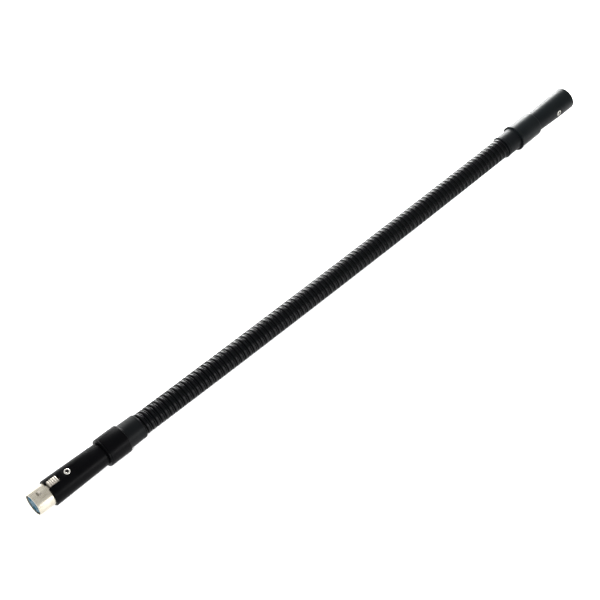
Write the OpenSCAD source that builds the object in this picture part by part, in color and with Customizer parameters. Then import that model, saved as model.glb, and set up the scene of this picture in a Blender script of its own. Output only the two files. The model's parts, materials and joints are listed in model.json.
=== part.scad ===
// Flexible gooseneck extension arm with a latching three-pole socket at one end
// and a three-pin plug at the other.
//
// The arm lies along X with its socket end at -X and its plug end at +X.  It rests
// on z = 0 on its two collars and on the middle of the neck, which sags slightly
// between them.  Along each connector, lengths are counted from its open mouth.

/* [Socket end] */
// Outside diameter of the plated nose that enters a mating plug
nose_d = 15.85; // [15:0.05:17]
// Wall of the plated shell
shell_wall = 0.72; // [0.6:0.02:1]
// Length of nose in front of the housing
nose_len = 11.9; // [11:0.1:16]
// Length of the socket housing
socket_len = 43.2; // [38:0.1:60]
// Diameter of the socket housing at its front
socket_front_d = 18.7; // [18:0.1:22]
// Diameter of the socket housing at its rear
socket_rear_d = 16.6; // [16:0.1:20]
// Length of the socket's collar
socket_collar_len = 16.8; // [14:0.1:24]
// Diameter of the socket's collar
socket_collar_d = 20.4; // [20.4:0.1:26]
// Length of the sleeve between the socket's collar and the neck
socket_sleeve_len = 13.7; // [9:0.1:20]
// Diameter of the socket's sleeve at the collar
socket_sleeve_d = 18.2; // [17.6:0.1:18.6]

/* [Plug end] */
// Length of the plug housing
plug_len = 40.3; // [38:0.1:60]
// Diameter of the plug housing at its mouth
plug_front_d = 18.2; // [17.8:0.1:22]
// Diameter of the plug housing at its rear
plug_rear_d = 16; // [15.6:0.1:20]
// Inside diameter of the plug's mouth
mouth_d = 16.3; // [16.1:0.05:17]
// Depth of the mouth, down to the face that carries the pins
mouth_depth = 13.5; // [12:0.1:16]
// Length of the plug's collar
plug_collar_len = 22.2; // [16:0.1:26]
// Diameter of the plug's collar body
plug_collar_d = 19.3; // [18.6:0.1:24]
// Diameter of the rim on the neck side of the plug's collar
plug_rim_d = 20.5; // [20:0.1:26]
// Length of the sleeve between the plug's collar and the neck
plug_sleeve_len = 14.1; // [9:0.1:22]
// Diameter of the plug's sleeve
plug_sleeve_d = 17.1; // [16.9:0.1:17.6]

/* [Neck] */
// Diameter over the turns of the wound neck
neck_d = 15.85; // [14.4:0.05:16]
// Distance from one turn to the next
rib_pitch = 3.91; // [3.2:0.01:4.7]
// Depth of the groove between two turns
rib_depth = 0.75; // [0.4:0.05:0.9]
// Diameter of the neck's bore
neck_bore_d = 10; // [9:0.1:10.4]
// Diameter of the cable inside the neck
cable_d = 4; // [3:0.1:4.4]

/* [Contacts] */
// Diameter of the circle that the three contacts lie on
contact_circle_d = 8; // [7.6:0.1:8.4]
// Diameter of a plug pin
pin_d = 2.4; // [2.2:0.05:2.6]
// Diameter of the bore in a socket contact
contact_bore_d = 2.44; // [2.3:0.02:2.7]

/* [Latch] */
// Width of the latch's thumb tab
tab_w = 4.3; // [3.6:0.1:5]
// Length of the latch's thumb tab
tab_len = 7.1; // [5:0.1:8]
// Height of the thumb tab above the centre line
tab_top = 9.9; // [9.5:0.1:11]

/* [Hidden] */
$fn = 64;

// Clearances and small details
fit = 0.05;             // between pieces that are assembled and stay put
joint_gap = 0.3;        // between the ball and the cup of a neck joint
pin_fit = 0.04;         // between the latch and its pivot pin
edge = 0.4;             // chamfer on the rims of housings and collars
over = 1;               // how far a cut runs past the surface it opens

// Neck: nine links of nine turns between two ends of six turns
link_count = 9;
link_ribs = 9;
end_ribs = 6;
joint_count = link_count + 1;
crest_r = neck_d / 2;
groove_r = crest_r - rib_depth;
bore_r = neck_bore_d / 2;
cable_r = cable_d / 2;
link_len = link_ribs * rib_pitch;
end_len = end_ribs * rib_pitch;
neck_len = link_count * link_len + 2 * end_len;
crest_from = 0.14;      // share of the pitch where a turn's crest begins
crest_to = 0.8;         // share of the pitch where a turn's crest ends
ball_r = crest_r - 0.5;
cup_r = ball_r + joint_gap;
ball_tip = 0.62 * ball_r;       // how far the ball reaches into the cup
cable_ball_tip = 0.8 * cable_r; // where a cable segment's hollow end stops

// Socket end, counted from the nose's face
nose_r = nose_d / 2;
shell_bore_r = nose_r - shell_wall;
shell_len = nose_len + 13.6;
insert_face = 0.5;
insert_len = 12;
insert_r = shell_bore_r - fit;
insert_hole_gap = 0.2;  // around a mating pin, in front of its contact
carrier_from = insert_face + insert_len + fit;
carrier_to = shell_len + 7;
housing_bore_r = nose_r + fit;
housing_front = nose_len;
housing_rear = housing_front + socket_len;
housing_spigot_r = 7.6;
housing_rear_bore_r = 6.4;
carrier_tail_r = housing_rear_bore_r - fit;
neck_seat = 3;          // thickness of the bushing's flange
sleeve_lap = 4;         // length of sleeve inside the collar
neck_lap = 0.1;         // length of neck inside the collar, before the sleeve
socket_spigot_len = socket_collar_len - sleeve_lap - neck_seat - neck_lap;
neck_end_at = housing_rear + socket_spigot_len + neck_seat;
collar_rear = housing_rear + socket_collar_len;
sleeve_rear = collar_rear + socket_sleeve_len;
sleeve_bore_r = crest_r + fit;
sleeve_taper = 0.3;
socket_screw_at = nose_len + 16.1;

// Plug end, counted from its mouth
mouth_r = mouth_d / 2;
plug_insert_r = mouth_r - fit;
plug_insert_to = mouth_depth + 13;
plug_screw_at = mouth_depth + 3.5;
plug_screw_roll = 81;   // from straight up, towards -Y
plug_spigot_r = 7.4;
plug_spigot_len = 9.7;
plug_rear_bore_r = 6.2;
plug_neck_end_at = plug_len + plug_spigot_len + neck_seat;
plug_collar_rear = plug_len + plug_collar_len;
plug_sleeve_rear = plug_collar_rear + plug_sleeve_len;
plug_rim_len = 1;
hook_pocket_depth = 0.5;
barrel_power = 1.6;     // how late the plug housing narrows towards its rear

// Contacts and leads
pin_r = pin_d / 2;
pin_tip_at = 2.5;
contact_wall = 0.38;
contact_r = contact_bore_d / 2 + contact_wall;
contact_from = insert_face + 1.6;
contact_bore_len = 14;
contact_tail = carrier_to + 3;
cup_len = 4;            // solder cup
cup_wall = 0.35;
lead_r = 0.6;
lead_circle_r = 1;
lead_end_gap = 0.3;
cable_gap = 0.4;        // around the cable in a bushing
bushing_bore_r = cable_r + cable_gap;
bushing_reach = 8;      // length of bushing inside the housing
cable_end_gap = 2;      // cable past the bushing, before its leads part
screw_r = 2.25;
screw_head_len = 1.2;
screw_shank_r = 1.25;
screw_slot = 0.6;       // width and depth of the cross
screw_cross = 0.7 * screw_r;

screw_sunk = 0.5;       // head of a screw below the housing's surface
screw_past = 0.3;       // end of a screw outside the circle of contact centres
plug_screw_top = plug_front_d / 2 - screw_sunk;
plug_screw_seat = plug_screw_top - screw_head_len;
plug_screw_end = contact_circle_d / 2 + contact_r + screw_past;
socket_screw_top = socket_front_d / 2 - screw_sunk;
socket_screw_seat = socket_screw_top - screw_head_len;
socket_screw_end = contact_circle_d / 2 + screw_past;
bushing_in_neck = 13;
socket_cable_end = housing_rear + socket_spigot_len - bushing_reach - cable_end_gap;
plug_cable_end = plug_len + plug_spigot_len - bushing_reach - cable_end_gap;

// Latch, at the top of the socket
hook_at = 5.5;
hook_len = 2.2;
hook_w = 2.2;
hook_height = 0.6;      // above the nose
hook_front = 0.5;       // height of the hook's front above the arm
hook_top = nose_r + hook_height;
hook_gap = 0.45;
lever_w = 3.8;
lever_low = 5.6;
lever_high = 6.6;
tab_from = nose_len + 1.2;
tab_ribs = 5;
tab_rib_h = 0.3;
tab_rib_from = 0.3;     // share of the step where a rib of the tab is full height
tab_rib_to = 0.7;
tab_foot = lever_low + 0.4;
notch_gap = 0.35;
notch_behind = 1.6;     // room behind the tab, to the notch's round end
notch_to = tab_from + tab_len + notch_behind;
latch_pivot_at = shell_len - 2.6;
latch_pivot_z = 5.3;
latch_eye_r = 1.1;
latch_pin_r = 0.55;
latch_pin_len = 8.4;
channel_w = tab_w + 2 * notch_gap;
channel_floor = 3.95;
spring_at = tab_from + 0.5 * tab_len;
spring_r = 1.1;
spring_wire_r = 0.15;
spring_seat = 2.2;
spring_turns = 5;
spring_steps = 12;      // points on each turn
spring_sides = 6;

// Lie of the arm on z = 0
total_len = sleeve_rear + neck_len + plug_sleeve_rear;
low_u = collar_rear;                                // where the socket's collar rests
high_u = total_len - plug_collar_rear;              // where the plug's collar rests
low_z = socket_collar_d / 2;
high_z = plug_rim_d / 2;
span = high_u - low_u;
sag = (low_z + high_z) / 2 - crest_r;
function share(u) = (u - low_u) / span;
function axis_z(u) = low_z + (high_z - low_z) * share(u) - 4 * sag * share(u) * (1 - share(u));
function joint_u(i) = total_len - plug_sleeve_rear - end_len - (i - 1) * link_len;
function joint_point(i) = [joint_u(i) - total_len / 2, 0, axis_z(joint_u(i))];
low_tilt = atan2(low_z - axis_z(joint_u(joint_count)), joint_u(joint_count) - low_u);
high_tilt = atan2(high_z - axis_z(joint_u(1)), high_u - joint_u(1));

// Places
module at_socket() {
    translate([low_u - total_len / 2, 0, low_z])
        rotate([0, low_tilt, 0]) translate([-low_u, 0, 0]) children();
}
module at_plug() {
    translate([high_u - total_len / 2, 0, high_z])
        rotate([0, -high_tilt, 0]) translate([total_len - high_u, 0, 0])
            rotate([0, 0, 180]) children();
}
// From joint i + 1 at local 0 to joint i at local link_len
module at_link(i) {
    low = joint_point(i + 1);
    high = joint_point(i);
    translate(low) rotate([0, -atan2(high[2] - low[2], high[0] - low[0]), 0]) children();
}
// Contacts 1 and 2 lie above the centre, contact 3 below it.  hand is 1 in the
// socket and -1 in the plug, so that equal numbers meet.
module contact_place(n, hand) {
    rotate([hand * (n * 120 - 180), 0, 0]) translate([0, 0, contact_circle_d / 2]) children();
}
module contact_places(hand) {
    for (n = [1:3]) contact_place(n, hand) children();
}

// Building blocks, all along +X
module rod(r, from, to) {
    translate([from, 0, 0]) rotate([0, 90, 0]) cylinder(r = r, h = to - from);
}
module turned(points) {
    rotate([90, 0, 90]) rotate_extrude() polygon([for (p = points) [p[1], p[0]]]);
}
module block(from, to, w, low, high) {
    translate([from, -w / 2, low]) cube([to - from, w, high - low]);
}
module side_profile(points, w) {
    translate([0, w / 2, 0]) rotate([90, 0, 0]) linear_extrude(w) polygon(points);
}

// Neck: a piece runs from x = 0 over its turns, with an optional plain end before
// or after them, a ball at x = 0 and a cup around x = cup_at
module neck_piece(turns, plain_before = 0, plain_after = 0, ball = false, cup_at = 0) {
    ribs_to = turns * rib_pitch;
    before = plain_before > 0 ? [[-plain_before, crest_r], [0, crest_r]] : [];
    after = plain_after > 0 ? [[ribs_to, crest_r], [ribs_to + plain_after, crest_r]] : [];
    ribs = [for (n = [0:turns - 1], p = [[0, groove_r], [crest_from, crest_r],
        [crest_to, crest_r]]) [(n + p[0]) * rib_pitch, p[1]]];
    color([0.09, 0.09, 0.1]) difference() {
        union() {
            turned(concat([[-plain_before, 0]], before, ribs, [[ribs_to, groove_r]], after,
                [[ribs_to + plain_after, 0]]));
            if (ball) intersection() {
                sphere(r = ball_r);
                rod(2 * ball_r, -ball_tip, over);
            }
        }
        rod(bore_r, -max(plain_before, ball_r) - over, ribs_to + plain_after + over);
        if (cup_at > 0) translate([cup_at, 0, 0]) sphere(r = cup_r);
    }
}

// Cable: round at x = from when it ends in a joint there, hollow around x = cup_at
module cable_piece(from, to, ball = false, cup_at = 0) {
    color([0.16, 0.16, 0.17]) difference() {
        union() {
            rod(cable_r, from, to);
            if (ball) translate([from, 0, 0]) sphere(r = cable_r);
        }
        if (cup_at > 0) translate([cup_at, 0, 0]) sphere(r = cable_r + joint_gap);
    }
}

module neck_link(i) {
    at_link(i) neck_piece(link_ribs - 1, ball = true, cup_at = link_len);
}
module cable_link(i) {
    at_link(i) cable_piece(0, link_len - cable_ball_tip, ball = true, cup_at = link_len);
}
module at_first_joint() {
    at_plug() translate([plug_sleeve_rear + end_len, 0, 0]) rotate([0, 0, 180]) children();
}
module neck_root() {
    at_first_joint() neck_piece(end_ribs, plain_after = plug_sleeve_rear - plug_neck_end_at,
        ball = true);
}
module cable_root() {
    at_first_joint() cable_piece(0, plug_sleeve_rear + end_len - plug_cable_end, ball = true);
}
module at_neck_tip() {
    at_socket() translate([sleeve_rear, 0, 0]) children();
}
module neck_tip() {
    at_neck_tip() neck_piece(end_ribs - 1, plain_before = sleeve_rear - neck_end_at,
        cup_at = end_len);
}
module cable_tip() {
    at_neck_tip() cable_piece(socket_cable_end - sleeve_rear, end_len - cable_ball_tip,
        cup_at = end_len);
}

// Pieces that both ends have
module bushing(spigot_end, in_housing_r, flange_r) {
    color([0.72, 0.7, 0.64]) turned([
        [spigot_end - bushing_reach, bushing_bore_r], [spigot_end - bushing_reach, in_housing_r],
        [spigot_end, in_housing_r], [spigot_end, flange_r],
        [spigot_end + neck_seat, flange_r], [spigot_end + neck_seat, bore_r - fit],
        [spigot_end + neck_seat + bushing_in_neck, bore_r - fit],
        [spigot_end + neck_seat + bushing_in_neck, bushing_bore_r]]);
}
module sleeve(from, r_from, to, r_to) {
    color([0.1, 0.1, 0.11]) turned([[from, sleeve_bore_r], [from, r_from],
        [to - edge, r_to], [to, r_to - edge / 2], [to, sleeve_bore_r]]);
}
// Collar bores: over the housing's spigot, the bushing's flange and the sleeve
module collar_bore(from, spigot_r, spigot_len, to, sleeve_r) {
    rod(spigot_r + fit, from - over, from + spigot_len);
    rod(crest_r + fit, from + spigot_len - fit, to - sleeve_lap);
    rod(sleeve_r + fit, to - sleeve_lap - fit, to + over);
}
// A straight lead from inside the solder cup, past the cup's edge, to the cable's end
module lead(n, hand, cup_mouth, cable_end, tint) {
    inside = cup_len / 2;
    lean = contact_r - cup_wall - lead_r - 2 * fit;
    drop = contact_circle_d / 2 - lean - lead_circle_r;
    run = cable_end - lead_end_gap - cup_mouth;
    slope = atan2(drop, run);
    color(tint) contact_place(n, hand) translate([cup_mouth - inside, 0, inside * drop / run - lean])
        rotate([0, 90 + slope, 0]) cylinder(r = lead_r, h = (run + inside) / cos(slope));
}
module screw(seat, shank_end, top) {
    color([0.8, 0.8, 0.82]) difference() {
        union() {
            translate([0, 0, seat]) cylinder(r = screw_r, h = top - seat);
            translate([0, 0, shank_end]) cylinder(r = screw_shank_r, h = seat - shank_end);
        }
        for (a = [0, 90]) rotate([0, 0, a])
            block(-screw_cross, screw_cross, screw_slot, top - screw_slot, top + over);
    }
}
module screw_hole(seat, shank_end) {
    translate([0, 0, seat - fit]) cylinder(r = screw_r + fit, h = nose_d);
    translate([0, 0, shank_end - fit]) cylinder(r = screw_shank_r + fit, h = nose_d);
}

// Plug end
module male_housing() {
    steps = 8;
    barrel = [for (k = [0:steps]) [edge + (plug_len - edge) * k / steps,
        (plug_front_d - (plug_front_d - plug_rear_d) * pow(k / steps, barrel_power)) / 2]];
    color([0.12, 0.13, 0.14]) at_plug() difference() {
        turned(concat([[0, mouth_r], [0, plug_front_d / 2 - edge]], barrel, [
            [plug_len, plug_spigot_r], [plug_len + plug_spigot_len, plug_spigot_r],
            [plug_len + plug_spigot_len, plug_rear_bore_r],
            [plug_insert_to + fit, plug_rear_bore_r], [plug_insert_to + fit, mouth_r]]));
        block(mouth_depth - hook_at - hook_len, mouth_depth - hook_at + hook_len,
            hook_w + 2 * hook_gap, 0, mouth_r + hook_pocket_depth);
        at_plug_screw() screw_hole(plug_screw_seat, plug_screw_end);
    }
}
module at_plug_screw() {
    translate([plug_screw_at, 0, 0]) rotate([-plug_screw_roll, 0, 0]) children();
}
module male_insert() {
    color([0.1, 0.1, 0.11]) at_plug() difference() {
        rod(plug_insert_r, mouth_depth, plug_insert_to);
        contact_places(-1) rod(contact_r + fit, 0, plug_insert_to + over);
        at_plug_screw() screw_hole(plug_screw_seat, plug_screw_end);
    }
}
// A pin stands on a thicker root, which fills its hole in the insert
module male_pin(n) {
    tail = plug_insert_to + cup_len + over;
    color([0.82, 0.8, 0.72]) at_plug() contact_place(n, -1) difference() {
        union() {
            translate([pin_tip_at + pin_r, 0, 0]) sphere(r = pin_r);
            rod(pin_r, pin_tip_at + pin_r, mouth_depth + over);
            rod(contact_r, mouth_depth, tail);
        }
        rod(contact_r - cup_wall, tail - cup_len, tail + over);
    }
}
module male_lead(n, tint) {
    at_plug() lead(n, -1, plug_insert_to + cup_len + over, plug_cable_end, tint);
}
module male_screw() {
    at_plug() at_plug_screw() screw(plug_screw_seat, plug_screw_end, plug_screw_top);
}
module male_bushing() {
    at_plug() bushing(plug_len + plug_spigot_len, plug_rear_bore_r - fit, plug_spigot_r - fit);
}
module male_collar() {
    body_r = plug_collar_d / 2;
    rim_r = plug_rim_d / 2;
    rim_from = plug_collar_rear - plug_rim_len;
    color([0.11, 0.12, 0.13]) at_plug() difference() {
        turned([[plug_len, 0], [plug_len, body_r - edge], [plug_len + edge, body_r],
            [rim_from, body_r], [rim_from + edge, rim_r], [plug_collar_rear - edge, rim_r],
            [plug_collar_rear, rim_r - edge], [plug_collar_rear, 0]]);
        collar_bore(plug_len, plug_spigot_r, plug_spigot_len, plug_collar_rear, plug_sleeve_d / 2);
    }
}
module male_sleeve() {
    at_plug() sleeve(plug_collar_rear - sleeve_lap, plug_sleeve_d / 2,
        plug_sleeve_rear, plug_sleeve_d / 2);
}

// Socket end
module female_sleeve() {
    at_socket() sleeve(collar_rear - sleeve_lap, socket_sleeve_d / 2,
        sleeve_rear, socket_sleeve_d / 2 - sleeve_taper);
}
module female_collar() {
    r = socket_collar_d / 2;
    color([0.1, 0.1, 0.11]) at_socket() difference() {
        turned([[housing_rear, 0], [housing_rear, r - edge], [housing_rear + edge, r],
            [collar_rear - edge, r], [collar_rear, r - edge], [collar_rear, 0]]);
        collar_bore(housing_rear, housing_spigot_r, socket_spigot_len, collar_rear, socket_sleeve_d / 2);
    }
}
module female_bushing() {
    at_socket() bushing(housing_rear + socket_spigot_len, housing_rear_bore_r - fit,
        housing_spigot_r - fit);
}
module female_housing() {
    front_r = socket_front_d / 2;
    rear_r = socket_rear_d / 2;
    notch_r = tab_w / 2 + notch_gap;
    color([0.09, 0.09, 0.1]) at_socket() difference() {
        turned([[housing_front, housing_bore_r], [housing_front, front_r - edge],
            [housing_front + edge, front_r], [housing_rear, rear_r],
            [housing_rear, housing_spigot_r],
            [housing_rear + socket_spigot_len, housing_spigot_r],
            [housing_rear + socket_spigot_len, housing_rear_bore_r],
            [shell_len + fit, housing_rear_bore_r], [shell_len + fit, housing_bore_r]]);
        block(housing_front - over, notch_to - notch_r, 2 * notch_r, 0, 2 * front_r);
        translate([notch_to - notch_r, 0, 0]) cylinder(r = notch_r, h = 2 * front_r);
        at_socket_screw() screw_hole(socket_screw_seat, socket_screw_end);
    }
}
module at_socket_screw() { translate([socket_screw_at, 0, 0]) children(); }
module female_screw() {
    at_socket() at_socket_screw() screw(socket_screw_seat, socket_screw_end, socket_screw_top);
}
module female_lead(n, tint) {
    at_socket() lead(n, 1, contact_tail + cup_len, socket_cable_end, tint);
}
module lever_channel(from, to) { block(from, to, channel_w, channel_floor, nose_d); }
module contact_carrier() {
    color([0.2, 0.2, 0.22]) at_socket() difference() {
        union() {
            rod(insert_r, carrier_from, shell_len);
            rod(carrier_tail_r, shell_len - over, carrier_to);
        }
        contact_places(1) rod(contact_r + fit, 0, carrier_to + over);
        lever_channel(carrier_from - over, latch_pivot_at + latch_eye_r + notch_gap);
        translate([spring_at, 0, spring_seat - fit])
            cylinder(r = spring_r + spring_wire_r + fit, h = nose_d);
        latch_axle(latch_pin_r + pin_fit, latch_pin_len + 2 * fit);
        at_socket_screw() screw_hole(socket_screw_seat, socket_screw_end);
    }
}
module female_contact(n) {
    color([0.85, 0.75, 0.45]) at_socket() contact_place(n, 1) difference() {
        rod(contact_r, contact_from, contact_tail + cup_len);
        rod(contact_bore_d / 2, contact_from - over, contact_from + contact_bore_len);
        rod(contact_r - cup_wall, contact_tail, contact_tail + cup_len + over);
    }
}
module female_insert() {
    color([0.2, 0.5, 0.72]) at_socket() difference() {
        rod(insert_r, insert_face, insert_face + insert_len);
        contact_places(1) {
            rod(contact_bore_d / 2 + insert_hole_gap, 0, contact_from + over);
            rod(contact_r + fit, contact_from - fit, insert_face + insert_len + over);
        }
        lever_channel(hook_at - hook_len, insert_face + insert_len + over);
    }
}
module female_shell() {
    window = hook_w / 2 + hook_gap;
    color([0.8, 0.79, 0.75]) at_socket() difference() {
        turned([[0, shell_bore_r], [0, nose_r - edge], [edge, nose_r],
            [shell_len, nose_r], [shell_len, shell_bore_r]]);
        block(hook_at - hook_len / 2 - hook_gap, hook_at + hook_len / 2 + hook_gap,
            2 * window, 0, nose_d);
        block(tab_from - 2 * hook_gap, notch_to, channel_w, 0, nose_d);
    }
}
module latch_axle(r, len) {
    translate([latch_pivot_at, len / 2, latch_pivot_z]) rotate([90, 0, 0]) cylinder(r = r, h = len);
}
module latch_lever() {
    front = hook_at - hook_len / 2;
    rib_step = tab_len / tab_ribs;
    color([0.82, 0.81, 0.78]) at_socket() difference() {
        union() {
            block(front, latch_pivot_at, lever_w, lever_low, lever_high);
            latch_axle(latch_eye_r, lever_w);
            side_profile([[front, lever_low], [front, lever_high + hook_front],
                [hook_at, hook_top], [hook_at + hook_len / 2, hook_top],
                [hook_at + hook_len / 2, lever_low]], hook_w);
            side_profile(concat([[tab_from, tab_foot]],
                [for (n = [0:tab_ribs - 1],
                    p = [[0, 0], [tab_rib_from, tab_rib_h], [tab_rib_to, tab_rib_h]])
                    [tab_from + (n + p[0]) * rib_step, tab_top - tab_rib_h + p[1]]],
                [[tab_from + tab_len, tab_top - tab_rib_h],
                    [tab_from + tab_len, tab_foot]]), tab_w);
        }
        latch_axle(latch_pin_r + pin_fit, tab_w);
    }
}
module latch_pin() { color([0.7, 0.7, 0.7]) at_socket() latch_axle(latch_pin_r, latch_pin_len); }
module latch_spring() {
    rings = spring_turns * spring_steps;
    low = spring_seat + spring_wire_r;
    rise = lever_low - fit - spring_wire_r - low;
    points = [for (k = [0:rings], s = [0:spring_sides - 1])
        let (turn = 360 * k / spring_steps, a = 360 * s / spring_sides,
            r = spring_r + spring_wire_r * cos(a))
        [r * cos(turn), r * sin(turn), low + rise * k / rings + spring_wire_r * sin(a)]];
    sides = [for (k = [0:rings - 1], s = [0:spring_sides - 1])
        let (t = (s + 1) % spring_sides, at = k * spring_sides, next = at + spring_sides)
        [at + s, next + s, next + t, at + t]];
    first = [for (s = [0:spring_sides - 1]) s];
    last = [for (s = [spring_sides - 1:-1:0]) rings * spring_sides + s];
    color([0.7, 0.72, 0.75]) at_socket() translate([spring_at, 0, 0])
        polyhedron(points, concat(sides, [first, last]), convexity = 10);
}

// Insulation colours of the three leads
lead_tints = [[0.75, 0.75, 0.72], [0.7, 0.15, 0.12], [0.12, 0.2, 0.6]];

male_housing();
male_insert();
male_pin(1);  // male_pin_1
male_pin(2);  // male_pin_2
male_pin(3);  // male_pin_3
male_screw();
male_lead(1, lead_tints[0]);  // male_lead_1
male_lead(2, lead_tints[1]);  // male_lead_2
male_lead(3, lead_tints[2]);  // male_lead_3
male_bushing();
male_collar();
male_sleeve();
neck_root();
cable_root();
neck_link(1);  // neck_link_1
neck_link(2);  // neck_link_2
neck_link(3);  // neck_link_3
neck_link(4);  // neck_link_4
neck_link(5);  // neck_link_5
neck_link(6);  // neck_link_6
neck_link(7);  // neck_link_7
neck_link(8);  // neck_link_8
neck_link(9);  // neck_link_9
cable_link(1);  // cable_link_1
cable_link(2);  // cable_link_2
cable_link(3);  // cable_link_3
cable_link(4);  // cable_link_4
cable_link(5);  // cable_link_5
cable_link(6);  // cable_link_6
cable_link(7);  // cable_link_7
cable_link(8);  // cable_link_8
cable_link(9);  // cable_link_9
neck_tip();
cable_tip();
female_sleeve();
female_collar();
female_bushing();
female_housing();
female_screw();
female_lead(1, lead_tints[0]);  // female_lead_1
female_lead(2, lead_tints[1]);  // female_lead_2
female_lead(3, lead_tints[2]);  // female_lead_3
contact_carrier();
female_contact(1);  // female_contact_1
female_contact(2);  // female_contact_2
female_contact(3);  // female_contact_3
female_insert();
female_shell();
latch_lever();
latch_pin();
latch_spring();
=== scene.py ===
import json
import math

import bmesh
import bpy
import numpy as np
from mathutils import Matrix, Vector


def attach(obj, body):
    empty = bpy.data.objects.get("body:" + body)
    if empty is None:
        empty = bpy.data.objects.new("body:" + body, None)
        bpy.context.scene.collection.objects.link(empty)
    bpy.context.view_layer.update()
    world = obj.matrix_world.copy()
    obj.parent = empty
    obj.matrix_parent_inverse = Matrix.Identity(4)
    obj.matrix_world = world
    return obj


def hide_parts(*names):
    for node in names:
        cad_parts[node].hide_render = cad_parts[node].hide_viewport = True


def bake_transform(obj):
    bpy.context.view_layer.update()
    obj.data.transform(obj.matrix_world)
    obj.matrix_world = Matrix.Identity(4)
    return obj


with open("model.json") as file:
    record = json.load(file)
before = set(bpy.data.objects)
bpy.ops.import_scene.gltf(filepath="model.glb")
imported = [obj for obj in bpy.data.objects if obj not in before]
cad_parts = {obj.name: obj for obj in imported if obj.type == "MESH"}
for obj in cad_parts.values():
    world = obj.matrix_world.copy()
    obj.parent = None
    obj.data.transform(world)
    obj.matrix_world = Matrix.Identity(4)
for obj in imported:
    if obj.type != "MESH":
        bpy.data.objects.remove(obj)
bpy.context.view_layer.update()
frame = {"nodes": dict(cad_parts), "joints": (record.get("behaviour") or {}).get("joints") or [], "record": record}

MM = 0.001
MOUNTS = {m["name"]: m for m in frame["record"]["mounts"]}
JOINTS = {j["name"]: j for j in frame["joints"]}

# Sizes of the part, in mm.  Lengths along each end count from its open mouth.
NOSE_R, NOSE_WALL, NOSE_LEN = 7.925, 0.72, 11.9
SHELL_LEN = NOSE_LEN + 13.6
SOCKET_REAR = NOSE_LEN + 43.2
SOCKET_COLLAR_REAR = SOCKET_REAR + 16.8
SOCKET_SLEEVE_REAR = SOCKET_COLLAR_REAR + 13.7
SOCKET_FRONT_R, SOCKET_REAR_R = 9.35, 8.3
SOCKET_COLLAR_R, SOCKET_SLEEVE_R = 10.2, 9.1
PLUG_LEN = 40.3
PLUG_COLLAR_REAR = PLUG_LEN + 22.2
PLUG_SLEEVE_REAR = PLUG_COLLAR_REAR + 14.1
PLUG_FRONT_R, PLUG_REAR_R, MOUTH_R, MOUTH_DEPTH = 9.1, 8.0, 8.15, 13.5
PLUG_COLLAR_R, PLUG_RIM_R, PLUG_SLEEVE_R = 9.65, 10.25, 8.55
NECK_R, PITCH = 7.925, 3.91
TAB_FROM, TAB_LEN, TAB_W, TAB_TOP = NOSE_LEN + 1.2, 7.1, 4.3, 9.9
NOTCH_TO, NOTCH_R = TAB_FROM + TAB_LEN + 1.6, TAB_W / 2 + 0.35
SOCKET_SCREW_AT = NOSE_LEN + 16.1
PLUG_SCREW_AT, PLUG_SCREW_ROLL = MOUTH_DEPTH + 3.5, 81
HOOK_AT, HOOK_LEN, HOOK_W, HOOK_PROUD = 5.5, 2.2, 2.2, 0.6
PIVOT_AT, PIVOT_Z = SHELL_LEN - 2.6, 5.3
SHELL_SEAT_R = 7.975                    # bore of the housing over the nose's shell
SPIGOT_LEN = 9.7                        # of each housing's rear, inside its collar
SOCKET_SPIGOT_R, SOCKET_SPIGOT_BORE, SOCKET_COLLAR_BORE = 7.6, 6.4, 7.66
PLUG_SPIGOT_R, PLUG_SPIGOT_BORE, PLUG_COLLAR_BORE = 7.4, 6.2, 7.46
NECK_SEAT_R = 7.98                      # bore of the collars and sleeves over the neck
TUCK, SLACK = 4.0, 0.05                 # of each sleeve inside its collar, and the gap round it
SCREW_WELL_R = 2.5
OUTSIDE = 12                            # farther from the axis than any surface


def end_matrix(mount, side):
    """Local millimetres, +X into the arm and +Z up, to the row frame."""
    into = -Vector(MOUNTS[mount]["axis"]).normalized()
    across = Vector((0, side, 0))
    up = into.cross(across)
    turn = Matrix((into, across, up)).transposed().to_4x4()
    return Matrix.Translation(MOUNTS[mount]["pos_m"]) @ turn @ Matrix.Scale(MM, 4)


SOCKET = end_matrix("socket_nose", 1)
PLUG = end_matrix("plug_mouth", -1)
SOCKET_SCREW = SOCKET @ Matrix.Translation((SOCKET_SCREW_AT, 0, 0))
PLUG_SCREW = (PLUG @ Matrix.Translation((PLUG_SCREW_AT, 0, 0))
              @ Matrix.Rotation(math.radians(-PLUG_SCREW_ROLL), 4, "X"))


# ---------------------------------------------------------------- materials
def node_material(name, colour, rough, metal=0.0, spec=0.5):
    m = bpy.data.materials.new(name)
    m.use_nodes = True
    shader = m.node_tree.nodes["Principled BSDF"]
    shader.inputs["Base Color"].default_value = (*colour, 1)
    shader.inputs["Roughness"].default_value = rough
    shader.inputs["Metallic"].default_value = metal
    shader.inputs["Specular IOR Level"].default_value = spec
    return m, m.node_tree, shader


def coordinates(tree, scale=(1, 1, 1)):
    place = tree.nodes.new("ShaderNodeTexCoord")
    mapping = tree.nodes.new("ShaderNodeMapping")
    mapping.inputs["Scale"].default_value = scale
    tree.links.new(place.outputs["Object"], mapping.inputs["Vector"])
    return mapping.outputs["Vector"]


def noise(tree, vector, scale, detail=3.0, rough=0.55):
    n = tree.nodes.new("ShaderNodeTexNoise")
    n.inputs["Scale"].default_value = scale
    n.inputs["Detail"].default_value = detail
    n.inputs["Roughness"].default_value = rough
    tree.links.new(vector, n.inputs["Vector"])
    return n.outputs["Fac"]


def spread(tree, value, low, high, to_low, to_high):
    r = tree.nodes.new("ShaderNodeMapRange")
    for key, v in (("From Min", low), ("From Max", high), ("To Min", to_low), ("To Max", to_high)):
        r.inputs[key].default_value = v
    tree.links.new(value, r.inputs["Value"])
    return r.outputs["Result"]


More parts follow.
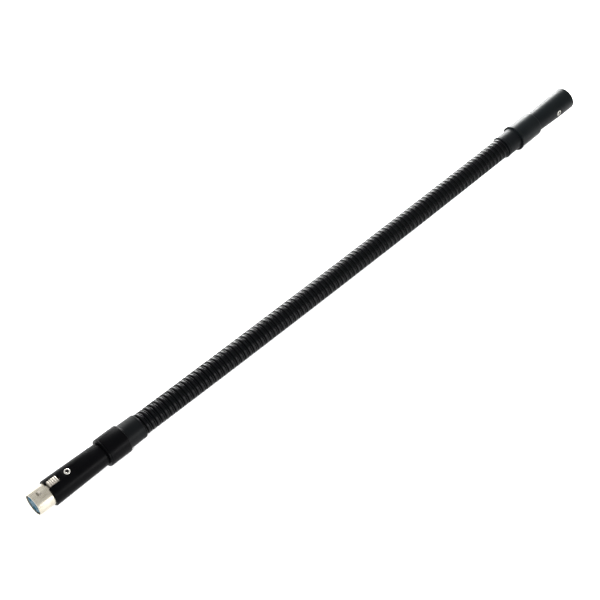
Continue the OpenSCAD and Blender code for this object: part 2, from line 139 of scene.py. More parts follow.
def mixed(tree, value, a, b):
    m = tree.nodes.new("ShaderNodeMix")
    m.data_type = "RGBA"
    m.inputs["A"].default_value = (*a, 1)
    m.inputs["B"].default_value = (*b, 1)
    tree.links.new(value, m.inputs["Factor"])
    return m.outputs["Result"]


def bump(tree, shader, height, strength, distance):
    b = tree.nodes.new("ShaderNodeBump")
    b.inputs["Strength"].default_value = strength
    b.inputs["Distance"].default_value = distance
    tree.links.new(height, b.inputs["Height"])
    tree.links.new(b.outputs["Normal"], shader.inputs["Normal"])


def painted(name, dark, light, rough, spec, grain=1900, grain_depth=0.00003, strength=0.25):
    """Satin paint on metal: fine orange-peel grain, faint cloudiness and handling marks."""
    m, tree, shader = node_material(name, dark, rough, spec=spec)
    at = coordinates(tree)
    cloud = noise(tree, at, 55, 4)
    tree.links.new(mixed(tree, spread(tree, cloud, 0.35, 0.68, 0, 1), dark, light),
                   shader.inputs["Base Color"])
    marks = noise(tree, coordinates(tree, (1, 6, 6)), 240, 5, 0.65)
    tree.links.new(spread(tree, marks, 0.3, 0.75, rough - 0.05, rough + 0.1), shader.inputs["Roughness"])
    bump(tree, shader, noise(tree, at, grain, 2), strength, grain_depth)
    return m


def plated(name, dark, light, rough, brushing=(0.05, 1, 1), depth=0.000012):
    """Plated metal: fine turning marks round the axis, with patches of duller plating."""
    m, tree, shader = node_material(name, light, rough, metal=1.0)
    cloud = noise(tree, coordinates(tree), 180, 4)
    tree.links.new(mixed(tree, spread(tree, cloud, 0.3, 0.7, 0, 1), dark, light),
                   shader.inputs["Base Color"])
    lines = noise(tree, coordinates(tree, brushing), 900, 4, 0.7)
    tree.links.new(spread(tree, lines, 0.25, 0.75, rough - 0.06, rough + 0.1), shader.inputs["Roughness"])
    bump(tree, shader, lines, 0.3, depth)
    return m


def moulded(name, dark, light, rough, grain=1300, strength=0.2, spec=0.5):
    """Moulded plastic: fine grain, faint cloudiness and uneven gloss."""
    m, tree, shader = node_material(name, dark, rough, spec=spec)
    at = coordinates(tree)
    cloud = noise(tree, at, 160, 3)
    tree.links.new(mixed(tree, spread(tree, cloud, 0.3, 0.7, 0, 1), dark, light),
                   shader.inputs["Base Color"])
    tree.links.new(spread(tree, noise(tree, at, 500, 3), 0.3, 0.7, rough - 0.06, rough + 0.08),
                   shader.inputs["Roughness"])
    bump(tree, shader, noise(tree, at, grain, 2), strength, 0.00003)
    return m


def neck_paint(name):
    """Black enamel on wound wire: glossier on the crests and lighter there in patches, partly wear and partly a
    painted highlight; dull in the grooves.
    """
    m, tree, shader = node_material(name, (0.01, 0.011, 0.012), 0.3, spec=0.09)
    crest = tree.nodes.new("ShaderNodeAttribute")
    crest.attribute_name = "crest"
    at = coordinates(tree)
    wear_and_highlight = tree.nodes.new("ShaderNodeMath")
    wear_and_highlight.operation = "MULTIPLY"
    tree.links.new(spread(tree, crest.outputs["Fac"], 0.75, 1.0, 0, 1), wear_and_highlight.inputs[0])
    tree.links.new(spread(tree, noise(tree, at, 420, 5, 0.7), 0.5, 0.8, 0, 1), wear_and_highlight.inputs[1])
    # Base colour: wear and a painted highlight lighten the crests in patches; elsewhere it stays near black.
    tree.links.new(mixed(tree, wear_and_highlight.outputs["Value"], (0.0006, 0.0007, 0.001), (0.004, 0.0043, 0.0047)),
                   shader.inputs["Base Color"])
    tree.links.new(spread(tree, crest.outputs["Fac"], 0.0, 0.9, 0.55, 0.27), shader.inputs["Roughness"])
    bump(tree, shader, noise(tree, at, 1500, 3), 0.18, 0.00004)
    return m


MATERIALS = {
    "plug_black": painted("plug_black", (0.002, 0.0028, 0.0032), (0.0032, 0.004, 0.0044), 0.34, 0.06),
    "socket_black": painted("socket_black", (0.0005, 0.0005, 0.0007), (0.0012, 0.0012, 0.0015), 0.31, 0.035),
    "sleeve_black": painted("sleeve_black", (0.0016, 0.002, 0.0023), (0.0026, 0.003, 0.0034), 0.38, 0.06,
                            grain=1200, strength=0.35),
    "neck_black": neck_paint("neck_black"),
    # Near-black, dull material for the faces deep in the neck's grooves: painted shade.
    "neck_groove_shade": painted("neck_groove_shade", (0.0006, 0.0006, 0.0007), (0.0012, 0.0012, 0.0014), 0.7, 0.03),
    "blue_insert": moulded("blue_insert", (0.008, 0.045, 0.07), (0.02, 0.08, 0.12), 0.42, spec=0.06),
    # Black plastic of the plug's insert and the contact carrier; on the socket's blue insert it is painted shade
    # in the ring groove.
    "dark_insert": moulded("dark_insert", (0.010, 0.010, 0.011), (0.016, 0.016, 0.018), 0.45),
    "cable_jacket": moulded("cable_jacket", (0.012, 0.012, 0.013), (0.02, 0.02, 0.021), 0.55),
    "lead_white": moulded("lead_white", (0.6, 0.6, 0.57), (0.7, 0.7, 0.67), 0.5),
    "lead_red": moulded("lead_red", (0.4, 0.03, 0.02), (0.5, 0.05, 0.04), 0.5),
    "lead_blue": moulded("lead_blue", (0.02, 0.05, 0.3), (0.04, 0.08, 0.38), 0.5),
    "nickel": plated("nickel", (0.46, 0.425, 0.345), (0.62, 0.58, 0.49), 0.26),
    "latch_nickel": plated("latch_nickel", (0.36, 0.33, 0.29), (0.5, 0.465, 0.41), 0.5, (1, 0.1, 1)),
    "screw_metal": plated("screw_metal", (0.7, 0.68, 0.62), (0.86, 0.84, 0.79), 0.2, (1, 1, 1)),
    "screw_dull": plated("screw_dull", (0.34, 0.33, 0.3), (0.46, 0.45, 0.41), 0.3, (1, 1, 1)),
    # Near-black plating for the screws' recesses: painted shade.
    "screw_recess_shade": plated("screw_recess_shade", (0.02, 0.02, 0.02), (0.07, 0.066, 0.06), 0.5),
    "contact_metal": plated("contact_metal", (0.66, 0.58, 0.42), (0.82, 0.76, 0.62), 0.22),
    "bush_metal": plated("bush_metal", (0.5, 0.48, 0.42), (0.62, 0.6, 0.54), 0.35),
    "spring_steel": plated("spring_steel", (0.5, 0.5, 0.5), (0.62, 0.62, 0.62), 0.28, (1, 1, 1)),
}


# ---------------------------------------------------------------- mesh tools
def new_object(name, verts, faces, matrix=None):
    mesh = bpy.data.meshes.new(name)
    mesh.from_pydata([tuple(v) for v in verts], [], faces)
    if matrix is not None:
        mesh.transform(matrix)
    obj = bpy.data.objects.new(name, mesh)
    bpy.context.scene.collection.objects.link(obj)
    return obj


def edited(obj, change):
    bm = bmesh.new()
    bm.from_mesh(obj.data)
    change(bm)
    bm.to_mesh(obj.data)
    bm.free()
    return obj


def outward(obj):
    return edited(obj, lambda bm: bmesh.ops.recalc_face_normals(bm, faces=bm.faces))


def welded(obj):
    """Closes an outline's ends on the axis into one point each."""
    return edited(obj, lambda bm: bmesh.ops.remove_doubles(bm, verts=bm.verts, dist=0.003 * MM))


def clean(obj, sharp=32):
    """Outward normals, and smooth shading with sharp edges kept."""
    outward(obj)
    obj.data.shade_smooth()
    obj.data.set_sharp_from_angle(angle=math.radians(sharp))
    return obj


def applied(obj):
    bpy.context.view_layer.update()
    graph = bpy.context.evaluated_depsgraph_get()
    mesh = bpy.data.meshes.new_from_object(obj.evaluated_get(graph))
    obj.modifiers.clear()
    obj.data = mesh
    return obj


def boolean(obj, others, operation="DIFFERENCE"):
    for other in others:
        mod = obj.modifiers.new("cut", "BOOLEAN")
        mod.operation, mod.object, mod.solver = operation, other, "EXACT"
    applied(obj)
    for other in others:
        bpy.data.objects.remove(other)
    return obj


def eased(obj, width, segments=2, angle=40):
    """Bevels the edges that are sharper than angle; width in metres."""
    mod = obj.modifiers.new("ease", "BEVEL")
    mod.width, mod.segments, mod.limit_method = width, segments, "ANGLE"
    mod.angle_limit = math.radians(angle)
    mod.use_clamp_overlap = True
    return applied(obj)


def rounded(points, steps=5):
    """Turns each corner (x, r, radius) of a closed outline into an arc."""
    out = []
    for i, (x, y, radius) in enumerate(points):
        p = Vector((x, y))
        if not radius:
            out.append(p)
            continue
        before = Vector(points[i - 1][:2]) - p
        after = Vector(points[(i + 1) % len(points)][:2]) - p
        half = before.angle(after) / 2
        cut = min(radius / math.tan(half), 0.48 * before.length, 0.48 * after.length)
        radius = cut * math.tan(half)
        before.normalize()
        after.normalize()
        centre = p + (before + after).normalized() * (radius / math.sin(half))
        first, last = p + before * cut - centre, p + after * cut - centre
        start = math.atan2(first.y, first.x)
        turn = (math.atan2(last.y, last.x) - start + math.pi) % (2 * math.pi) - math.pi
        angles = [start + turn * k / steps for k in range(steps + 1)]
        out += [centre + radius * Vector((math.cos(a), math.sin(a))) for a in angles]
    return out


def lathe(name, outline, matrix, sides=96):
    """Turns a closed outline of (x, r, corner radius) about X."""
    ring = rounded(outline)
    n = len(ring)
    verts = [(p.x, p.y * math.cos(2 * math.pi * j / sides), p.y * math.sin(2 * math.pi * j / sides))
             for j in range(sides) for p in ring]
    faces = [(j * n + i, j * n + (i + 1) % n, (j + 1) % sides * n + (i + 1) % n, (j + 1) % sides * n + i)
             for j in range(sides) for i in range(n)]
    return clean(new_object(name, verts, faces, matrix))


def disc(radius, low, high, matrix, sides=48):
    """A closed round peg along local Z."""
    verts = [(radius * math.cos(2 * math.pi * j / sides), radius * math.sin(2 * math.pi * j / sides), z)
             for z in (low, high) for j in range(sides)]
    faces = [(j, (j + 1) % sides, sides + (j + 1) % sides, sides + j) for j in range(sides)]
    faces += [tuple(reversed(range(sides))), tuple(range(sides, 2 * sides))]
    return new_object("cutter", verts, faces, matrix)


def extruded(name, outline, low, high, matrix, plane="xz"):
    """A closed outline in XZ, extruded along Y, or in XY, extruded along Z."""
    n = len(outline)
    if plane == "xz":
        verts = [(x, y, z) for y in (low, high) for x, z in outline]
    else:
        verts = [(x, y, z) for z in (low, high) for x, y in outline]
    faces = [(i, (i + 1) % n, n + (i + 1) % n, n + i) for i in range(n)]
    faces += [tuple(reversed(range(n))), tuple(range(n, 2 * n))]
    return outward(new_object(name, verts, faces, matrix))


def box(x0, x1, y0, y1, z0, z1, matrix):
    return extruded("cutter", [(x0, z0), (x1, z0), (x1, z1), (x0, z1)], y0, y1, matrix)


def second_material(obj, material, matrix, chosen):
    """Gives the faces whose local centre passes chosen(at) a second material."""
    obj.data.materials.append(MATERIALS[material])
    to_local = matrix.inverted()
    for face in obj.data.polygons:
        if chosen(to_local @ face.center):
            face.material_index = 1


def piece(obj, body, slot, *nodes, material=None):
    """Gives a new piece its body and a material, the one named by material, else by slot, and hides the nodes it
    stands for.
    """
    obj.data.materials.clear()
    obj.data.materials.append(MATERIALS[material or slot])
    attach(obj, body)
    if nodes:
        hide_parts(*nodes)
    return obj


# ---------------------------------------------------------------- neck
JOINT_COUNT = 10
LINK_TURNS, END_TURNS = 9, 6
NECK_TURNS = (JOINT_COUNT - 1) * LINK_TURNS + 2 * END_TURNS
AROUND = 64         # steps round the neck
INNER_R = 5.2
GROOVE_SHARE = 0.7  # a face whose mean crest value is lower takes the groove's near-black material, painted shade

# One turn of the winding: a broad wedge wire, a narrow seam, a round wire and a deep groove.
# Each row is the share of the pitch and how far below the crest it lies, in mm.
PROFILE = [(0.0, 0.95), (0.05, 0.92), (0.1, 0.66), (0.13, 0.36), (0.16, 0.13), (0.2, 0.03), (0.26, 0.0),
           (0.4, 0.0), (0.52, 0.02), (0.555, 0.08), (0.58, 0.3), (0.595, 0.68), (0.69, 0.68), (0.71, 0.3),
           (0.735, 0.08), (0.785, 0.04), (0.845, 0.08), (0.88, 0.28), (0.91, 0.6), (0.95, 0.9)]
GROOVE = max(drop for _, drop in PROFILE)

joint_points = [Vector(JOINTS[f"neck_bend_{k}"]["pos_m"]) / MM for k in range(1, JOINT_COUNT + 1)]
socket_in = SOCKET.to_3x3() @ Vector((1, 0, 0)) / MM     # unit vectors into the arm
plug_in = PLUG.to_3x3() @ Vector((1, 0, 0)) / MM
joint_x = np.array([p.x for p in joint_points])
curve = np.polyfit(joint_x, [p.z for p in joint_points], 2)
slope_of = np.polyder(curve)


def neck_point(turn):
    """Centre and up vector of the neck, so many turns from the socket's sleeve."""
    low, high = joint_points[-1], joint_points[0]
    if turn <= END_TURNS:
        centre, along = low + socket_in * ((turn - END_TURNS) * PITCH), socket_in
    elif turn >= NECK_TURNS - END_TURNS:
        past = (turn - (NECK_TURNS - END_TURNS)) * PITCH
        centre, along = high - plug_in * past, -plug_in
    else:
        x = low.x + (high.x - low.x) * (turn - END_TURNS) / (NECK_TURNS - 2 * END_TURNS)
        centre = Vector((x, 0, float(np.polyval(curve, x))))
        along = Vector((1, 0, float(np.polyval(slope_of, x)))).normalized()
    return centre, Vector((-along.z, 0, along.x))


def neck_piece(name, from_turn, to_turn):
    """A closed length of the winding.  Each row runs once round and ends a pitch further on."""
    rows = len(PROFILE)
    turns = to_turn - from_turn
    verts, crest = [], []

    def ring(turn, drop):
        for j in range(AROUND):
            share = j / AROUND
            centre, up = neck_point(turn + share)
            a = 2 * math.pi * share
            r = INNER_R if drop is None else NECK_R - drop
            verts.append((centre + r * (math.cos(a) * Vector((0, 1, 0)) + math.sin(a) * up)) * MM)
            crest.append(0.0 if drop is None else 1 - drop / GROOVE)

    last = turns * rows
    for i in range(last + rows + 1):
        turn = from_turn + i // rows + PROFILE[i % rows][0]
        if i <= last:
            ring(turn, PROFILE[i % rows][1])
        else:                                   # only the point where the last row arrives
            centre, up = neck_point(turn)
            r = NECK_R - PROFILE[i % rows][1]
            verts.append((centre + r * Vector((0, 1, 0))) * MM)
            crest.append(1 - PROFILE[i % rows][1] / GROOVE)
    inner = len(verts)
    for m in range(turns + 1):
        ring(from_turn + m, None)
    centre, up = neck_point(to_turn + 1)
    verts.append((centre + INNER_R * Vector((0, 1, 0))) * MM)
    crest.append(0.0)

    def outer_at(i, j):
        i, j = (i + rows, 0) if j == AROUND else (i, j)
        return i * AROUND + j if i <= last else (last + 1) * AROUND + (i - last - 1)

    def inner_at(m, j):
        m, j = (m + 1, 0) if j == AROUND else (m, j)
        return inner + m * AROUND + j

    faces = []
    for j in range(AROUND):
        faces += [(outer_at(i, j), outer_at(i + 1, j), outer_at(i + 1, j + 1), outer_at(i, j + 1))
                  for i in range(last)]
        faces += [(inner_at(m, j), inner_at(m, j + 1), inner_at(m + 1, j + 1), inner_at(m + 1, j))
                  for m in range(turns)]
        faces.append((outer_at(0, j), outer_at(0, j + 1), inner_at(0, j + 1), inner_at(0, j)))
        faces.append((outer_at(last, j), inner_at(turns, j), inner_at(turns, j + 1), outer_at(last, j + 1)))
    faces.append(tuple(outer_at(i, 0) for i in range(rows + 1)) + (inner_at(1, 0), inner_at(0, 0)))
    faces.append(tuple(outer_at(last + i, 0) for i in range(rows, -1, -1))
                 + (inner_at(turns, 0), inner_at(turns + 1, 0)))
    obj = new_object(name, verts, faces)
    attribute = obj.data.attributes.new("crest", "FLOAT", "POINT")
    attribute.data.foreach_set("value", crest)
    for face in obj.data.polygons:
        if sum(crest[v] for v in face.vertices) < GROOVE_SHARE * len(face.vertices):
            face.material_index = 1
    return clean(obj, 60)


RUN_IN = 1          # turns hidden in each sleeve
SPLIT_BEFORE, SPLIT_AFTER = 5, 4        # turns from a joint to its skin's ends
for k in range(1, JOINT_COUNT + 1):
    at = END_TURNS + LINK_TURNS * (JOINT_COUNT - k)
    first = -RUN_IN if k == JOINT_COUNT else at - SPLIT_BEFORE
    final = NECK_TURNS + RUN_IN if k == 1 else at + SPLIT_AFTER
    skin = neck_piece(f"neck_skin_{k}", first, final)
    skin.data.materials.append(MATERIALS["neck_black"])
    # The second material darkens the groove faces as painted shade.
    skin.data.materials.append(MATERIALS["neck_groove_shade"])
    nodes = ["neck_tip"] if k == JOINT_COUNT else [f"neck_link_{k}"]
    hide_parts(*(nodes + ["neck_root"] if k == 1 else nodes))
    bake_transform(skin)


# ---------------------------------------------------------------- socket end
shell = lathe("nose_shell", [
    (0, NOSE_R - NOSE_WALL, 0.12), (0, NOSE_R, 0.42), (SHELL_LEN, NOSE_R, 0.1),
    (SHELL_LEN, NOSE_R - NOSE_WALL, 0)], SOCKET)
WINDOW_GAP = 0.25       # round the hook, in the shell
window_len, window_w = HOOK_LEN / 2 + WINDOW_GAP, HOOK_W / 2 + WINDOW_GAP
boolean(shell, [
    box(HOOK_AT - window_len, HOOK_AT + window_len, -window_w, window_w, 0, OUTSIDE, SOCKET),
    box(TAB_FROM - 0.9, NOTCH_TO, -NOTCH_R, NOTCH_R, 0, OUTSIDE, SOCKET)])
piece(clean(shell), "socket_end", "nickel", "female_shell")

INSERT_R, INSERT_FACE, INSERT_REAR = NOSE_R - NOSE_WALL - 0.05, 0.6, 12.5
RING_FROM, RING_TO, RING_DEPTH = 6.1, 6.9, 1.5      # groove in the insert's face
HOLE_CIRCLE_R, HOLE_MOUTH_R, HOLE_R, HOLE_REAR_R, HOLE_STEP_AT = 4, 1.75, 1.42, 1.65, 2.05
insert = welded(lathe("socket_insert", [
    (INSERT_FACE, 0.001, 0), (INSERT_FACE, RING_FROM, 0.15), (INSERT_FACE + RING_DEPTH, RING_FROM, 0),
    (INSERT_FACE + RING_DEPTH, RING_TO, 0), (INSERT_FACE + 0.15, RING_TO, 0),
    (INSERT_FACE + 0.15, INSERT_R, 0.08), (INSERT_REAR, INSERT_R, 0.1), (INSERT_REAR, 0.001, 0)], SOCKET))
contact_holes = [welded(lathe("cutter", [
    (-1, 0.001, 0), (-1, HOLE_MOUTH_R, 0), (INSERT_FACE, HOLE_MOUTH_R, 0), (INSERT_FACE + 0.3, HOLE_R, 0),
    (HOLE_STEP_AT, HOLE_R, 0), (HOLE_STEP_AT, HOLE_REAR_R, 0), (INSERT_REAR + 1, HOLE_REAR_R, 0),
    (INSERT_REAR + 1, 0.001, 0)],
    SOCKET @ Matrix.Rotation(math.radians(120 * n - 180), 4, "X") @ Matrix.Translation((0, 0, HOLE_CIRCLE_R)),
    sides=40)) for n in (1, 2, 3)]
latch_channel = box(HOOK_AT - HOOK_LEN, INSERT_REAR + 1, -2.5, 2.5, 3.95, OUTSIDE, SOCKET)
boolean(insert, contact_holes + [latch_channel])
piece(clean(insert), "socket_end", "blue_insert", "female_insert")
# The faces in the ring groove take the dark plastic: painted shade in the recess.
second_material(insert, "dark_insert", SOCKET,
                lambda at: (at.x < INSERT_FACE + RING_DEPTH + 0.1
                            and math.hypot(at.y, at.z) > RING_FROM - 0.05))

housing = lathe("socket_housing", [
    (NOSE_LEN, SHELL_SEAT_R, 0.15), (NOSE_LEN, SOCKET_FRONT_R, 0.55), (SOCKET_REAR, SOCKET_REAR_R, 0.1),
    (SOCKET_REAR, SOCKET_SPIGOT_R, 0), (SOCKET_REAR + SPIGOT_LEN, SOCKET_SPIGOT_R, 0),
    (SOCKET_REAR + SPIGOT_LEN, SOCKET_SPIGOT_BORE, 0), (SHELL_LEN + SLACK, SOCKET_SPIGOT_BORE, 0),
    (SHELL_LEN + SLACK, SHELL_SEAT_R, 0)], SOCKET, sides=128)
notch_end = NOTCH_TO - NOTCH_R
notch = [(NOSE_LEN - 1, -NOTCH_R), (notch_end, -NOTCH_R)]
notch += [(notch_end + NOTCH_R * math.sin(a), -NOTCH_R * math.cos(a))
          for a in np.linspace(0, math.pi, 25)[1:-1]]
notch += [(notch_end, NOTCH_R), (NOSE_LEN - 1, NOTCH_R)]
boolean(housing, [
    extruded("cutter", notch, 2, OUTSIDE, SOCKET, plane="xy"),
    disc(SCREW_WELL_R, SOCKET_FRONT_R - 1.8, OUTSIDE, SOCKET_SCREW)])
eased(housing, 0.14 * MM)
piece(clean(housing), "socket_end", "socket_black", "female_housing")

LIP, LIP_GROOVE = 1.0, 0.28             # front lip of the socket's collar, and the fine groove behind it
lip_end = SOCKET_REAR + LIP
collar = lathe("socket_collar", [
    (SOCKET_REAR, SOCKET_COLLAR_BORE, 0), (SOCKET_REAR, SOCKET_COLLAR_R, 0.32),
    (lip_end, SOCKET_COLLAR_R, 0.12), (lip_end + 0.1, SOCKET_COLLAR_R - LIP_GROOVE, 0.05),
    (lip_end + 0.4, SOCKET_COLLAR_R - LIP_GROOVE, 0.05), (lip_end + 0.5, SOCKET_COLLAR_R, 0.12),
    (SOCKET_COLLAR_REAR, SOCKET_COLLAR_R, 0.5),
    (SOCKET_COLLAR_REAR, SOCKET_SLEEVE_R + SLACK, 0.08),
    (SOCKET_COLLAR_REAR - TUCK - SLACK, SOCKET_SLEEVE_R + SLACK, 0),
    (SOCKET_COLLAR_REAR - TUCK - SLACK, NECK_SEAT_R, 0), (SOCKET_REAR + SPIGOT_LEN, NECK_SEAT_R, 0),
    (SOCKET_REAR + SPIGOT_LEN, SOCKET_COLLAR_BORE, 0)], SOCKET, sides=128)
piece(collar, "socket_end", "socket_black", "female_collar")

sleeve = lathe("socket_sleeve", [
    (SOCKET_COLLAR_REAR - TUCK, NECK_SEAT_R, 0), (SOCKET_COLLAR_REAR - TUCK, SOCKET_SLEEVE_R, 0),
    (SOCKET_COLLAR_REAR + 0.7, SOCKET_SLEEVE_R, 0.2), (SOCKET_COLLAR_REAR + 0.9, SOCKET_SLEEVE_R - 0.12, 0.1),
    (SOCKET_SLEEVE_REAR - 1.3, SOCKET_SLEEVE_R - 0.3, 0.1),
    (SOCKET_SLEEVE_REAR - 1.1, SOCKET_SLEEVE_R - 0.2, 0.08),
    (SOCKET_SLEEVE_REAR, SOCKET_SLEEVE_R - 0.2, 0.35), (SOCKET_SLEEVE_REAR, NECK_SEAT_R, 0.1)], SOCKET)
piece(sleeve, "socket_end", "sleeve_black", "female_sleeve")


# ---------------------------------------------------------------- plug end
def barrel(v):
    """Radius of the plug's housing, which flares towards its mouth."""
    return PLUG_FRONT_R - (PLUG_FRONT_R - PLUG_REAR_R) * (v / PLUG_LEN) ** 1.6


GROOVE_AT, GROOVE_DEPTH = 1.2, 0.2      # fine groove behind the mouth's rim
SHOULDER_AT = MOUTH_DEPTH + 13.05       # where the mouth's bore narrows to the spigot's
groove_r = barrel(GROOVE_AT)
outline = [(0, MOUTH_R, 0.15), (0, PLUG_FRONT_R, 0.3), (GROOVE_AT, groove_r, 0.05),
           (GROOVE_AT + 0.12, groove_r - GROOVE_DEPTH, 0.04),
           (GROOVE_AT + 0.36, groove_r - GROOVE_DEPTH, 0.04), (GROOVE_AT + 0.48, groove_r, 0.05)]
outline += [(v, barrel(v), 0) for v in np.linspace(4, PLUG_LEN, 16)]
outline += [(PLUG_LEN, PLUG_SPIGOT_R, 0), (PLUG_LEN + SPIGOT_LEN, PLUG_SPIGOT_R, 0),
            (PLUG_LEN + SPIGOT_LEN, PLUG_SPIGOT_BORE, 0), (SHOULDER_AT, PLUG_SPIGOT_BORE, 0),
            (SHOULDER_AT, MOUTH_R, 0)]
housing = lathe("plug_housing", outline, PLUG, sides=128)
pocket_at, pocket_w = MOUTH_DEPTH - HOOK_AT, HOOK_W / 2 + 0.45      # takes the mating socket's hook
boolean(housing, [
    box(pocket_at - HOOK_LEN, pocket_at + HOOK_LEN, -pocket_w, pocket_w, 0, MOUTH_R + 0.5, PLUG),
    disc(SCREW_WELL_R, PLUG_FRONT_R - 1.75, OUTSIDE, PLUG_SCREW)])
eased(housing, 0.12 * MM)
piece(clean(housing), "plug_end", "plug_black", "male_housing")

RIM_FROM = PLUG_COLLAR_REAR - 1.0
collar = lathe("plug_collar", [
    (PLUG_LEN, PLUG_COLLAR_BORE, 0), (PLUG_LEN, PLUG_COLLAR_R, 0.55), (RIM_FROM, PLUG_COLLAR_R, 0.12),
    (RIM_FROM + 0.12, PLUG_RIM_R, 0.15), (PLUG_COLLAR_REAR, PLUG_RIM_R, 0.12),
    (PLUG_COLLAR_REAR, PLUG_SLEEVE_R + SLACK, 0.08),
    (PLUG_COLLAR_REAR - TUCK - SLACK, PLUG_SLEEVE_R + SLACK, 0),
    (PLUG_COLLAR_REAR - TUCK - SLACK, NECK_SEAT_R, 0), (PLUG_LEN + SPIGOT_LEN, NECK_SEAT_R, 0),
    (PLUG_LEN + SPIGOT_LEN, PLUG_COLLAR_BORE, 0)], PLUG, sides=128)
piece(collar, "plug_end", "plug_black", "male_collar")

LIP_R, WAIST_R = PLUG_SLEEVE_R + 0.3, PLUG_SLEEVE_R - 0.3           # of the sleeve's end at the neck
sleeve = lathe("plug_sleeve", [
    (PLUG_COLLAR_REAR - TUCK, NECK_SEAT_R, 0), (PLUG_COLLAR_REAR - TUCK, PLUG_SLEEVE_R, 0),
    (PLUG_SLEEVE_REAR - 1.9, PLUG_SLEEVE_R, 0.15), (PLUG_SLEEVE_REAR - 1.7, WAIST_R, 0.06),
    (PLUG_SLEEVE_REAR - 1.3, WAIST_R, 0.06), (PLUG_SLEEVE_REAR - 1.15, LIP_R, 0.15),
    (PLUG_SLEEVE_REAR, LIP_R, 0.12), (PLUG_SLEEVE_REAR, NECK_SEAT_R, 0.05)], PLUG)
piece(sleeve, "plug_end", "sleeve_black", "male_sleeve")


# ---------------------------------------------------------------- screws
SHANK_R, HEAD_R, HEAD_H = 1.25, 2.25, 1.2
ARM, HALF, RECESS = 1.35, 0.28, 0.85    # the cross recess: arm's length, half its width, and depth
DARK_R = 1.2                            # the recess's walls inside this radius take a near-black material, painted shade
HEAD_BELOW = 0.5                        # of each head's top under its housing's largest radius


def screw(name, top, end, matrix, body, node, material):
    """A sunk pan-head screw: rounded rim, dished middle and a cross recess darkened with painted shade."""
    turned = matrix @ Matrix.Rotation(math.radians(-90), 4, "Y")    # local X becomes up
    seat = top - HEAD_H
    obj = welded(lathe(name, [
        (end, 0.001, 0), (end, SHANK_R, 0.3), (seat, SHANK_R, 0), (seat, HEAD_R, 0.1),
        (top - 0.25, HEAD_R, 0.22), (top, 1.85, 0.3), (top, 1.3, 0.15), (top - 0.22, 0.95, 0.1),
        (top - 0.3, 0.001, 0)], turned, sides=64))
    cross = [(ARM, -HALF), (ARM, HALF), (HALF, HALF), (HALF, ARM), (-HALF, ARM), (-HALF, HALF),
             (-ARM, HALF), (-ARM, -HALF), (-HALF, -HALF), (-HALF, -ARM), (HALF, -ARM), (HALF, -HALF)]
    spun = matrix @ Matrix.Rotation(math.radians(25), 4, "Z")
    boolean(obj, [extruded("cutter", cross, top - RECESS, top + 1, spun, plane="xy")])
    piece(clean(obj), body, "screw_metal", node, material=material)
    second_material(obj, "screw_recess_shade", matrix, lambda at: math.hypot(at.x, at.y) < DARK_R and at.z > seat)


screw("socket_screw", SOCKET_FRONT_R - HEAD_BELOW, 4.3, SOCKET_SCREW,
      "socket_end", "female_screw", "screw_metal")
screw("plug_screw", PLUG_FRONT_R - HEAD_BELOW, 5.9, PLUG_SCREW,
      "plug_end", "male_screw", "screw_dull")


# ---------------------------------------------------------------- latch
LEVER_LOW, LEVER_HIGH, LEVER_W = 5.6, 6.6, 3.8
EYE_R, PIN_HOLE_R = 1.1, 0.59
hook_front, hook_rear = HOOK_AT - HOOK_LEN / 2, HOOK_AT + HOOK_LEN / 2
arm = [(hook_front, LEVER_LOW), (TAB_FROM + TAB_LEN, LEVER_LOW), (PIVOT_AT - 0.6, PIVOT_Z - 0.9)]
arm += [(PIVOT_AT + EYE_R * math.sin(a), PIVOT_Z - EYE_R * math.cos(a))
        for a in np.linspace(-0.3, math.pi, 14)]
arm += [(hook_front, LEVER_HIGH)]
lever = extruded("latch", arm, -LEVER_W / 2, LEVER_W / 2, SOCKET)
hook = extruded("hook", [
    (hook_front + 0.02, LEVER_LOW + 0.1), (hook_front + 0.02, LEVER_HIGH + 0.5),
    (HOOK_AT, NOSE_R + HOOK_PROUD), (hook_rear, NOSE_R + HOOK_PROUD), (hook_rear, LEVER_LOW + 0.1)],
    -HOOK_W / 2, HOOK_W / 2, SOCKET)
# Each rib is a cut and a rounded crest: the share of its length, and the height over TAB_TOP - RIB_H.
RIBS, RIB_H = 5, 0.3
RIB = [(0.03, -0.3), (0.1, -0.3), (0.14, 0.14), (0.25, 0.28),
       (0.4, 0.3), (0.65, 0.3), (0.8, 0.28), (0.93, 0.14)]
rib_len = TAB_LEN / RIBS
top = [(TAB_FROM, LEVER_LOW + 0.4)]
top += [(TAB_FROM + (n + share) * rib_len, TAB_TOP - RIB_H + height)
        for n in range(RIBS) for share, height in RIB]
top += [(TAB_FROM + TAB_LEN, LEVER_LOW + 0.4)]
tab = extruded("tab", top, -TAB_W / 2, TAB_W / 2, SOCKET)
boolean(lever, [hook, tab], "UNION")
pin = Matrix.Translation((PIVOT_AT, 0, PIVOT_Z)) @ Matrix.Rotation(math.radians(90), 4, "X")
boolean(lever, [disc(PIN_HOLE_R, -LEVER_W, LEVER_W, SOCKET @ pin)])
eased(lever, 0.13 * MM, 2, 50)
piece(clean(lever), "latch", "nickel", "latch_lever", material="latch_nickel")


# ---------------------------------------------------------------- carried-over CAD nodes
BY_NAME = {"male_insert": "dark_insert", "contact_carrier": "dark_insert",
           "latch_pin": "spring_steel", "latch_spring": "spring_steel"}
for name, obj in frame["nodes"].items():
    if name.startswith(("male_pin", "female_contact")):
        material = "contact_metal"
    elif name.startswith("cable_"):
        material = "cable_jacket"
    elif "_lead_" in name:
        material = ("lead_white", "lead_red", "lead_blue")[int(name[-1]) - 1]
    elif name.endswith("_bushing"):
        material = "bush_metal"
    else:
        material = BY_NAME.get(name, "neck_black")      # the rest are hidden by their pieces
    obj.data.materials.clear()
    obj.data.materials.append(MATERIALS[material])


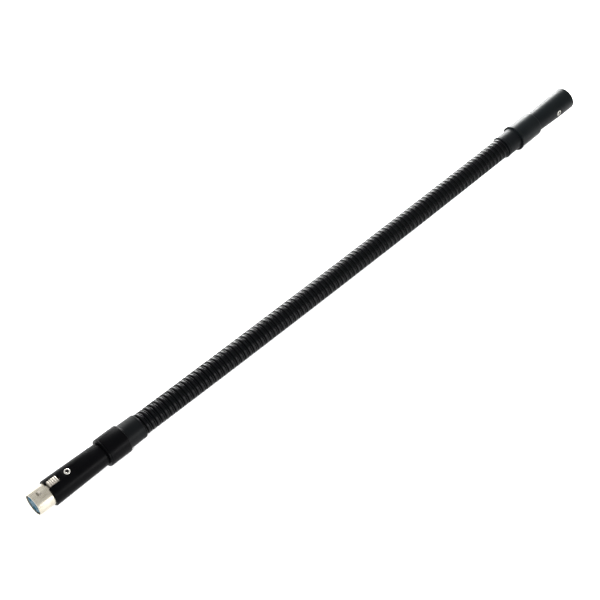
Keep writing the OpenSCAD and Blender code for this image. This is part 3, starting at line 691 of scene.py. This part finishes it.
# ---------------------------------------------------------------- floor, light and camera
def floor_material():
    m, tree, shader = node_material("floor_white", (0.86, 0.86, 0.86), 0.6, spec=0.2)
    cloud = noise(tree, coordinates(tree), 3, 3)
    tree.links.new(mixed(tree, cloud, (0.85, 0.85, 0.85), (0.87, 0.87, 0.87)), shader.inputs["Base Color"])
    return m


FLOOR = 3.0         # half the floor's side, in metres
floor = new_object("floor", [(-FLOOR, -FLOOR, 0), (FLOOR, -FLOOR, 0), (FLOOR, FLOOR, 0), (-FLOOR, FLOOR, 0)],
                   [(0, 1, 2, 3)])
floor.data.materials.append(floor_material())


def look(obj, at, target):
    obj.location = at
    obj.rotation_euler = (Vector(target) - Vector(at)).to_track_quat("-Z", "Y").to_euler()


def lamp(data, at, target, energy, reflected):
    data.energy = energy
    obj = bpy.data.objects.new(data.name, data)
    bpy.context.scene.collection.objects.link(obj)
    look(obj, at, target)
    obj.visible_glossy = reflected
    return obj


def soft_light(name, at, target, size, power, reflected=True):
    """A rectangular light, in metres and watts, that the camera doesn't see."""
    data = bpy.data.lights.new(name, "AREA")
    data.shape = "RECTANGLE"
    data.size, data.size_y = size
    lamp(data, at, target, power, reflected).visible_camera = False


KEY_FROM, KEY_STRENGTH, KEY_ANGLE = Vector((-0.437, -0.445, 0.782)), 4.2, 12
sun = bpy.data.lights.new("key_light", "SUN")
sun.angle = math.radians(KEY_ANGLE)
lamp(sun, KEY_FROM, (0, 0, 0), KEY_STRENGTH, reflected=False)
# The back lights draw the bright line along the upper side of the arm.
soft_light("low_back_light", (0.435, 0.45, 0.065), (0.435, 0, 0.065), (0.79, 0.12), 15)
soft_light("high_back_light", (0.435, 0.45, 0.25), (0.435, 0, 0.12), (0.79, 0.24), 7)
soft_light("floor_light", (0.06, 0.11, 0.1), (0.06, 0.1101, 0), (0.4, 0.06), 2.5, reflected=False)
soft_light("front_light", (0.12, -0.8, 0.2), (-0.22, 0, 0), (0.45, 0.25), 3.5)

world = bpy.data.worlds.new("studio")
world.use_nodes = True
world.node_tree.nodes["Background"].inputs["Color"].default_value = (1, 1, 1, 1)
world.node_tree.nodes["Background"].inputs["Strength"].default_value = 0.8
bpy.context.scene.world = world
bpy.context.scene.view_settings.view_transform = "Standard"

AZIMUTH, ELEVATION = math.radians(-44.33), math.radians(51.66)
DISTANCE, FOCAL_PX, IMAGE_PX, SENSOR_MM = 0.9363, 1341.5, 600, 36
target = Vector((-0.03028, 0, 0.01253))
back = Vector((math.sin(AZIMUTH) * math.cos(ELEVATION), -math.cos(AZIMUTH) * math.cos(ELEVATION),
               math.sin(ELEVATION)))
camera_data = bpy.data.cameras.new("camera")
camera_data.sensor_width = SENSOR_MM
camera_data.lens = SENSOR_MM * FOCAL_PX / IMAGE_PX
camera_data.clip_start, camera_data.clip_end = 0.01, 20
camera = bpy.data.objects.new("camera", camera_data)
bpy.context.scene.collection.objects.link(camera)
look(camera, target + back * DISTANCE, target)
bpy.context.scene.camera = camera
